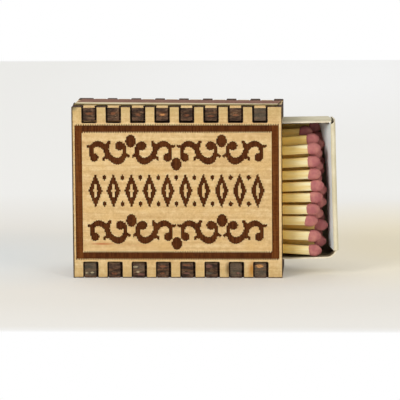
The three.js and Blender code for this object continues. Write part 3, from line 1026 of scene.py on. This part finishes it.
def card_sheet(shell, rows, flap_from=math.inf):
    """Card with the given grid of points as its outer face, in rows. Its edges are cut card.

    Rows from flap_from on have the folded flap's skin on their outer face: the same card, painted lighter and
    bluish as light from the left.
    """
    height, width = len(rows), len(rows[0])
    outer = []
    inner = []
    for r in range(height):
        outer_row = []
        inner_row = []
        for c in range(width):
            across = rows[min(r + 1, height - 1)][c] - rows[max(r - 1, 0)][c]
            along = rows[r][min(c + 1, width - 1)] - rows[r][max(c - 1, 0)]
            normal = across.cross(along).normalized()
            outer_row.append(shell.point(*rows[r][c]))
            inner_row.append(shell.point(*(rows[r][c] + normal * card_thickness)))
        outer.append(outer_row)
        inner.append(inner_row)
    for r in range(height - 1):
        for c in range(width - 1):
            outer_skin = lit_flap_skin if r >= flap_from else tray_skin
            for grid, skin in ((outer, outer_skin), (inner, inner_grey_and_shaded_skin)):
                shell.face((grid[r][c], grid[r][c + 1], grid[r + 1][c + 1], grid[r + 1][c]), skin)
        for c in (0, width - 1):
            shell.face((outer[r][c], outer[r + 1][c], inner[r + 1][c], inner[r][c]), edge_skin)
    for c in range(width - 1):
        for r in (0, height - 1):
            shell.face((outer[r][c], outer[r][c + 1], inner[r][c + 1], inner[r][c]), edge_skin)


def end_x(side, z, share):
    """The outer x of an end wall, from its fold at the base, share 0, to its rim, share 1.

    The left wall leans out evenly. The right one leans out further at its lower end.
    """
    if side < 0:
        return base_left - wall_height * share * math.tan(left_lean)
    height = (z - tray_low.z) / (tray_high.z - tray_low.z)
    foot = base_right - right_foot_lean * height
    rim = right_rim - right_rim_lean * height - right_rim_bow * math.sin(math.pi * height)
    bow = right_wall_bow * height ** 4 * (1 - abs(2 * share - 1))
    return foot + (rim - foot) * share + bow


def trough(shell):
    """The base with both long walls, from the upper rim round the back to the lower rim."""
    top, bottom, back = tray_high.z, tray_low.z, tray_high.y
    rim_y = back - wall_height
    bend_y = back - fold_bend
    bend = [math.pi / 2 * k / 4 for k in range(5)]
    upper, base, lower = 1, 0, -1
    profile = [(rim_y + (bend_y - rim_y) * k / wall_steps, top, upper) for k in range(wall_steps)]
    for a in bend:
        y = bend_y + fold_bend * math.sin(a)
        profile.append((y, top - fold_bend + fold_bend * math.cos(a), upper))
    profile += [(back, top + (bottom - top) * k / wall_steps, base) for k in range(1, wall_steps)]
    for a in bend:
        y = bend_y + fold_bend * math.cos(a)
        profile.append((y, bottom + fold_bend - fold_bend * math.sin(a), lower))
    profile += [(bend_y - (bend_y - rim_y) * k / wall_steps, bottom, lower) for k in range(1, wall_steps + 1)]
    inner_gap = card_thickness + fold_gap
    straight_columns = wall_columns - corner_columns
    rows = []
    for y, z, wall in profile:
        share = min(max((back - y) / wall_height, 0.0), 1.0)
        left = end_x(-1, z, share) + inner_gap
        right = (base_right if wall == base else end_x(1, z, share)) - inner_gap
        if wall == upper:
            right += upper_wall_bow * (1 - abs(2 * share - 1)) - upper_wall_gap
        corner = bend_radius + (corner_round - bend_radius) * share if wall == lower else bend_radius
        row = []
        for c in range(wall_columns + 1):
            arc = max(0, c - straight_columns) / corner_columns * math.pi / 2
            if arc > 0:
                x = right - corner + corner * math.sin(arc)
            else:
                x = left + (right - corner - left) * c / straight_columns
            lift = 0.0
            if wall == lower:
                out = max(0.0, (x - lower_rise_start) / (right - lower_rise_start))
                lift = corner * (1 - math.cos(arc)) + lower_wall_rise * share * out ** 2
            if wall == upper:
                lift = upper_wall_rise * max(0.0, (x - base_left) / tray_length) ** 2
                lift -= upper_wall_sag * share * math.sin(math.pi * (x - left) / (right - left)) ** 2
            row.append(Vector((x, y, z + lift)))
        rows.append(row)
    card_sheet(shell, rows)


def end_wall(shell, side):
    """A folded end wall: its outer layer, the fold at its rim and its inner layer.

    At the right, the inner layer's foot stands open, most of all at its upper end.
    """
    top, bottom, back = tray_high.z, tray_low.z, tray_high.y
    inner_top = top - card_thickness - inner_layer_gap
    path = [(k / wall_steps, "outer") for k in range(wall_steps + 1)]
    path += [(k / fold_steps, "fold") for k in range(1, fold_steps)]
    path += [(1 - k / wall_steps, "inner") for k in range(wall_steps + 1)]
    rows = []
    for share, layer in path:
        low, high = bottom, top
        if side > 0:
            low = bottom + (end_wall_lift + end_wall_round * (share if layer == "outer" else 1))
            high = top + upper_wall_rise * 0.6
        if layer == "inner":
            low = max(low, bottom + card_thickness + inner_layer_lift)
            high = inner_top
        if layer == "fold":
            high = high + (inner_top - high) * share
        row = []
        for k in range(end_wall_stations + 1):
            z = low + (high - low) * (k / end_wall_stations)
            rim = end_x(side, z, 1.0)
            if layer == "outer":
                y = back - 0.02 - wall_height * share
                x = end_x(side, z, share)
            elif layer == "fold":
                angle = math.pi * share
                x = rim - side * fold_radius * (1 - math.cos(angle))
                y = back - wall_height - fold_radius * math.sin(angle)
            else:
                foot_open = 0.0
                if side > 0:
                    up = (z - bottom) / (top - bottom)
                    foot_open = 0.1 + 1.1 * up ** 1.5 + 1.5 * up ** 8
                foot = (base_right if side > 0 else base_left) - side * (end_thickness + foot_open)
                y = back - flap_foot - (wall_height - flap_foot) * share
                x = foot + (rim - side * 2 * fold_radius - foot) * share
            wave = 0.05 * noise.noise(Vector((z * 0.3, y * 0.25, side * 3.0)))
            row.append(Vector((x + side * min(wave, 0.0), y, z)))
        rows.append(row if side > 0 else row[::-1])
    card_sheet(shell, rows, flap_from=wall_steps + fold_steps - 1)


def corner_tab(shell, side, end):
    """A long wall's corner tab, tucked between the layers of an end wall."""
    reach = 9.0
    start = corner_round if end < 0 and side > 0 else 0.1
    inset = card_thickness + fold_gap
    rows = []
    for k in range(7):
        share = 0.08 + 0.9 * k / 6
        row = []
        for c in range(5):
            from_edge = start + (reach - start) * c / 4
            z = tray_low.z + from_edge if end < 0 else tray_high.z - from_edge
            x = end_x(side, z, share) - side * inset
            row.append(Vector((x, tray_high.y - wall_height * share, z)))
        rows.append(row if side * end > 0 else row[::-1])
    card_sheet(shell, rows)


tray_shell = Shell()
trough(tray_shell)
for side in (1, -1):
    end_wall(tray_shell, side)
    for end in (1, -1):
        corner_tab(tray_shell, side, end)
tray_card = card_finish("tray_card", srgb(238, 228, 197), srgb(222, 211, 175))
tray_edge = card_finish("tray_card_edge", srgb(244, 234, 208), srgb(214, 200, 168))
# The folded flap is the same side of the same card as the outer wall. Its lighter, bluish colour is painted
# light from the left.
lit_flap_card = card_finish("tray_card_flap_lit", srgb(248, 255, 252), srgb(236, 249, 246))
# The inside of the tray is darker grey-brown card: partly the card's own grey inner side, partly painted
# shade for the dark inside of the tray.
inner_card_grey_and_shaded = card_finish("tray_card_inside_grey_and_shaded", srgb(158, 144, 112), srgb(132, 118, 90))
card_tray = tray_shell.piece("card_tray", [tray_card, tray_edge, lit_flap_card, inner_card_grey_and_shaded], sharp_angle=32)
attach(card_tray, "tray")
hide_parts("tray")


# Matches: 36 sawn sticks of aspen, each dipped in a pink match compound that dries as a squared
# drop round its end. They lie loose in the tray in four layers of nine.
layer_size = 9
split_matches = 18
match_count = 36
stick_width = 2.2
stick_edge = 0.16
stick_stations = 14
head_width = 2.8
head_length = 3.5
head_sides = 24
stick_in_head = 2.3
lowest_tip = 7.0
highest_tip = 34.5
lowest_settle = -0.08
loose_settle = 0.22
highest_settle = 0.05
across_layers = Vector((0, 1, 0))
dice = random.Random(11)


def match_axis(number):
    """The middle of the match's tail, its tip, its direction and its upward one across the grain.

    The match settles a little from its node's place: the lowest one on the tray's lower wall.
    """
    if number <= split_matches:
        stick_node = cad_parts[f"match_{number:02d}_stick"]
        head_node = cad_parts[f"match_{number:02d}_head"]
    else:
        stick_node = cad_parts[f"match_{number:02d}"]
        head_node = stick_node
    stick_points = [v.co / MM for v in stick_node.data.vertices]
    tip = max((v.co / MM for v in head_node.data.vertices), key=lambda p: p.x)
    tail_x = min(p.x for p in stick_points)
    ends = [p for p in stick_points if p.x < tail_x + 0.5]
    low = Vector(min(p[i] for p in ends) for i in range(3))
    high = Vector(max(p[i] for p in ends) for i in range(3))
    tail = (low + high) / 2
    along = (tip - tail).normalized()
    up = along.cross(-across_layers).normalized()
    if up.z < 0:
        up = -up
    rise = lowest_settle if tip.z < lowest_tip else loose_settle if tip.z < highest_tip else highest_settle
    settle = Vector((0, 0, rise))
    return tail + settle, tip + settle, along, up


def add_stick(shell, tail, tip, along, up, seed):
    """A square sawn stick with broken edges, a little bowed and uneven."""
    length = (tip - tail).length - (head_length - stick_in_head)
    half = stick_width / 2
    cut = stick_edge * dice.uniform(0.7, 1.2)
    section = []
    for su, sv in ((1, 1), (-1, 1), (-1, -1), (1, -1)):
        upright = (su * half, sv * (half - cut))
        level = (su * (half - cut), sv * half)
        section += [upright, level] if su * sv > 0 else [level, upright]
    bow = dice.uniform(-0.08, 0.08)
    rows = []
    for k in range(stick_stations + 1):
        share = k / stick_stations
        centre = tail + along * (length * share) + up * (bow * math.sin(math.pi * share))
        row = []
        for j, (u, v) in enumerate(section):
            rough = 1 - 0.025 * (0.5 + noise.noise(Vector((share * 5, j * 0.9, seed))))
            place = centre + across_layers * (u * rough) + up * (v * rough)
            row.append(shell.point(*place, share))
        rows.append(row)
    for row, next_row in zip(rows, rows[1:]):
        shell.ring(row, next_row)
    shell.face(rows[0])
    shell.face(rows[-1])


def add_head(shell, tip, along, up, seed, skin):
    """A dipped head: full and squarish in its middle, round at the tip, slanted where it ends."""
    slant = dice.uniform(-0.3, 0.3)
    lean = dice.uniform(-0.2, 0.2)
    stages = 14
    half = head_width / 2
    fullness = 1.05
    most_push = 1.14
    rows = []
    for k in range(stages + 1):
        t = k / stages
        if t < 0.5:
            swell = math.sin(math.pi / 2 * (0.07 + 0.93 * t / 0.5)) ** 0.62
        else:
            swell = 1 - 0.16 * ((t - 0.5) / 0.5) ** 3
        squareness = 2.5 + 2.9 * min(1, t * 1.8)
        row = []
        for j in range(head_sides):
            angle = 2 * math.pi * j / head_sides
            sides = abs(math.cos(angle)) ** squareness + abs(math.sin(angle)) ** squareness
            radius = half * swell * min(sides ** (-1 / squareness), most_push) * fullness
            u = radius * math.cos(angle)
            v = radius * math.sin(angle)
            back = head_length * t
            edge = max(0.0, t - 0.55) / 0.45
            back += edge * (slant * v / half + lean * u / half - 0.38)
            lump = 0.05 * noise.noise(Vector((u * 0.9 + seed, v * 0.9, back * 0.8))) - 0.03
            outward = across_layers * u + up * v
            place = tip - along * max(back, 0.0) + outward
            direction = outward.normalized()
            row.append(shell.point(*(place + direction * lump)))
        rows.append(row)
    for row, next_row in zip(rows, rows[1:]):
        shell.ring(row, next_row, skin)
    shell.face(rows[0], skin)
    collar = []
    for j in range(head_sides):
        place = Vector(shell.points[rows[-1][j]])
        centre = tip - along * (tip - place).dot(along)
        collar.append(shell.point(*(centre + (place - centre) * 0.78 - along * 0.05)))
    shell.ring(rows[-1], collar, skin)
    shell.face(collar, skin)


def aspen_finish(name, sleeve_shade_share, brown, yellow, cream):
    """Split aspen, pale next to the head. Its amber behind the head, less so towards the tail, is painted
    shade and bounce light from the sleeve's mouth.
    """
    aspen = Finish(name, roughness=0.55)
    fibres = aspen.noise((0.3, 7, 7), detail=3)
    streaks = aspen.noise((0.08, 1.3, 1.3), detail=3, offset=(2, 3, 4))
    colour = aspen.ramp(streaks, [(0.30, brown), (0.50, yellow), (0.70, cream)])
    colour = aspen.tint(colour, fibres, 0.42, 0.72, 0.22, srgb(214, 172, 92))
    along = aspen.attribute("scorch")
    # Painted shade and bounce light: the stick turns amber back from the head, near the sleeve's mouth.
    behind_head = aspen.between(along, 0.79, 0.94, sleeve_shade_share, 0.0)
    off_tail = aspen.between(along, 0.3, 0.78, 0.25, 1.0)
    colour = aspen.mix(aspen.number("MULTIPLY", behind_head, off_tail), colour, srgb(255, 206, 84))
    return aspen.finish(colour, fibres, relief=0.03)


def head_finish(name):
    compound = Finish(name, roughness=0.8, specular=0.25)
    cloud = compound.noise((0.55, 0.55, 0.55), detail=2)
    grain = compound.noise((6, 6, 6), detail=3, offset=(5, 1, 3))
    colour = compound.ramp(cloud, [
        (0.34, srgb(176, 104, 104)),
        (0.50, srgb(190, 120, 114)),
        (0.66, srgb(202, 134, 122)),
    ])
    colour = compound.tint(colour, grain, 0.5, 0.75, 0.3, srgb(164, 92, 96))
    return compound.finish(colour, grain, relief=0.04)


front_aspen = aspen_finish("aspen_front", 0.9, srgb(240, 208, 134), srgb(252, 234, 174), srgb(255, 246, 202))
# The sticks below the front layer get a more amber copy of the aspen: painted bounce light in the narrow gaps
# between the sticks.
deep_aspen_bounce_lit = aspen_finish("aspen_deep_bounce_lit", 0.85, srgb(244, 200, 104), srgb(252, 218, 128), srgb(255, 230, 150))
match_compound = head_finish("match_compound")
for number in range(1, match_count + 1):
    tail, tip, along, up = match_axis(number)
    aspen = front_aspen if number <= layer_size else deep_aspen_bounce_lit
    stick_shell = Shell()
    add_stick(stick_shell, tail, tip, along, up, seed=number * 1.7)
    if number <= split_matches:
        stick = stick_shell.piece(f"match_stick_{number:02d}", [aspen], sharp_angle=60)
        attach(stick, "tray")
        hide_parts(f"match_{number:02d}_stick")
        head_shell = Shell()
        add_head(head_shell, tip, along, up, seed=number * 2.9, skin=0)
        head = head_shell.piece(f"match_tip_{number:02d}", [match_compound], sharp_angle=50)
        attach(head, "tray")
        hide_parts(f"match_{number:02d}_head")
    else:
        add_head(stick_shell, tip, along, up, seed=number * 2.9, skin=1)
        match = stick_shell.piece(f"whole_match_{number:02d}", [aspen, match_compound], sharp_angle=50)
        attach(match, "tray")
        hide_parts(f"match_{number:02d}")


# Stage: a sheet of pale paper that lies flat under the box and curves up behind it, with soft
# lamps at both sides in front. It isn't part of the object.
sweep_half_width = 1500
sweep_front = -1200
sweep_flat_end = 950
sweep_bend = 260
sweep_top = 1200
bend_steps = 12
white_middle = 262
white_start = 344
white_full = 352


def paper_sweep():
    """The sheet's shell: flat, then bent up on a quarter of a circle, then upright."""
    shell = Shell()
    places = [(sweep_front, 0), (-200, 0), (0, 0), (sweep_flat_end, 0)]
    for k in range(1, bend_steps + 1):
        angle = math.pi / 2 * k / bend_steps
        places.append((sweep_flat_end + sweep_bend * math.sin(angle), sweep_bend * (1 - math.cos(angle))))
    places.append((sweep_flat_end + sweep_bend, sweep_top))
    rows = [[shell.point(x, y, z) for x in (-sweep_half_width, sweep_half_width)] for y, z in places]
    for row, next_row in zip(rows, rows[1:]):
        shell.face((row[0], row[1], next_row[1], next_row[0]))
    return shell


def paper_finish(name):
    """Pale paper. The camera sees it lighter than the box does, and white far in front and behind. Round the
    box it has painted light and shadow: a yellowish bounce to the right, a bluish shadow to the left and a
    lighter pool behind.
    """
    paper = Finish(name, roughness=0.9, specular=0.1)
    white = srgb(255, 255, 255)
    near = paper.between(paper.spot((8, 8, 0), (260, 150, 60)), 0.0, 0.6)
    close = paper.between(paper.spot((6, -4, 0), (46, 40, 40)), 0.0, 0.5)
    # Painted light: a yellowish patch of bounce light on the paper beside the tray, at the right.
    painted_warm_bounce = paper.between(paper.spot((66, 52, 0), (70, 90, 30)), 0.0, 0.7, 0.0, 0.7)
    # Painted shadow: a bluish, darker patch on the paper left of the box.
    painted_cool_shadow = paper.between(paper.spot((-64, 22, 0), (56, 60, 30)), 0.0, 0.7, 0.0, 0.8)
    # Painted light: a lighter pool on the paper far behind the box, which the camera sees white at its
    # middle.
    painted_backdrop_light = paper.between(paper.spot((14, 560, 0), (110, 280, 60)), 0.0, 0.7, 0.0, 0.7)
    colour = paper.mix(near, srgb(248, 248, 247), srgb(245, 241, 233))
    colour = paper.mix(painted_warm_bounce, colour, srgb(246, 230, 190))
    colour = paper.mix(painted_cool_shadow, colour, srgb(226, 232, 234))
    paper.finish(colour, near, relief=0.01)
    from_middle = paper.number("ABSOLUTE", paper.number("SUBTRACT", paper.axis("Y"), white_middle), 0.0)
    far = paper.between(from_middle, white_start, white_full)
    seen_colour = paper.mix(near, srgb(245, 244, 240), srgb(243, 238, 228))
    seen_colour = paper.mix(painted_backdrop_light, seen_colour, white)
    seen_colour = paper.mix(painted_warm_bounce, seen_colour, srgb(252, 240, 208))
    seen_colour = paper.mix(painted_cool_shadow, seen_colour, srgb(240, 241, 237))
    seen_colour = paper.mix(far, seen_colour, white)
    glow_share = paper.between(near, 0.0, 1.0, 0.8, 0.5)
    glow_share = paper.number("SUBTRACT", glow_share, paper.number("MULTIPLY", close, 0.3))
    glow_share = paper.number("MAXIMUM", glow_share, far)
    path = paper.nodes.new("ShaderNodeLightPath").outputs
    seen = paper.number("MAXIMUM", path["Is Camera Ray"], path["Is Glossy Ray"])
    seen = paper.number("MAXIMUM", seen, path["Is Transmission Ray"])
    glow = paper.fill(paper.nodes.new("ShaderNodeEmission"), {"Color": seen_colour})[0]
    blend_inputs = {0: paper.number("MULTIPLY", seen, glow_share), 1: paper.shader.outputs[0], 2: glow}
    blend = paper.fill(paper.nodes.new("ShaderNodeMixShader"), blend_inputs)
    paper.fill(paper.nodes["Material Output"], {"Surface": blend[0]})
    return paper.material


paper = paper_sweep().piece("paper_sweep", [paper_finish("sweep_paper")], sharp_angle=60)


def soft_lamp(name, azimuth, elevation, distance, size, power, colour):
    """A square lamp that faces the box, from an azimuth and an elevation in degrees."""
    lamp = bpy.data.lights.new(name, "AREA")
    lamp.shape = "SQUARE"
    lamp.size = size
    lamp.energy = power
    lamp.color = colour
    holder = bpy.data.objects.new(name, lamp)
    a, e = math.radians(azimuth), math.radians(elevation)
    away = Vector((math.sin(a) * math.cos(e), -math.cos(a) * math.cos(e), math.sin(e)))
    target = Vector((0.005, 0, 0.02))
    holder.location = target + away * distance
    holder.rotation_euler = away.to_track_quat("Z", "Y").to_euler()
    bpy.context.scene.collection.objects.link(holder)


soft_lamp("key_lamp", azimuth=-36, elevation=27, distance=0.9, size=0.35, power=4.2, colour=(1.0, 0.99, 0.98))
soft_lamp("fill_lamp", azimuth=40, elevation=24, distance=1.0, size=0.35, power=2.6, colour=(1.0, 0.98, 0.95))
soft_lamp("paper_lamp", azimuth=180, elevation=62, distance=0.8, size=0.8, power=1.2, colour=(1, 1, 1))

world = bpy.data.worlds.new("studio")
world.use_nodes = True
world.node_tree.nodes["Background"].inputs["Color"].default_value = (0.93, 0.96, 1.0, 1.0)
world.node_tree.nodes["Background"].inputs["Strength"].default_value = 0.3
bpy.context.scene.world = world
bpy.context.scene.view_settings.view_transform = "Standard"


# Camera: a little to the right of the front and a little above, far off with a long lens.
view_target = Vector((0.005035, 0, 0.018232))
view_yaw = math.radians(3.694)
view_pitch = math.radians(7.506)
view_roll = -0.00838
view_distance = 0.8
focal_pixels = 3169.1
picture_pixels = 400
sensor_width = 36.0
back = Vector((
    math.sin(view_yaw) * math.cos(view_pitch),
    -math.cos(view_yaw) * math.cos(view_pitch),
    math.sin(view_pitch),
))
level_right = Vector((math.cos(view_yaw), math.sin(view_yaw), 0))
level_up = back.cross(level_right)
right = level_right * math.cos(view_roll) + level_up * math.sin(view_roll)
up = level_up * math.cos(view_roll) - level_right * math.sin(view_roll)
camera_data = bpy.data.cameras.new("camera")
camera_data.sensor_width = sensor_width
camera_data.lens = focal_pixels / picture_pixels * sensor_width
camera_data.clip_start = 0.01
camera_data.clip_end = 10
camera = bpy.data.objects.new("camera", camera_data)
turn = Matrix((right, up, back)).transposed().to_4x4()
camera.matrix_world = Matrix.Translation(view_target + back * view_distance) @ turn
bpy.context.scene.collection.objects.link(camera)
bpy.context.scene.camera = camera
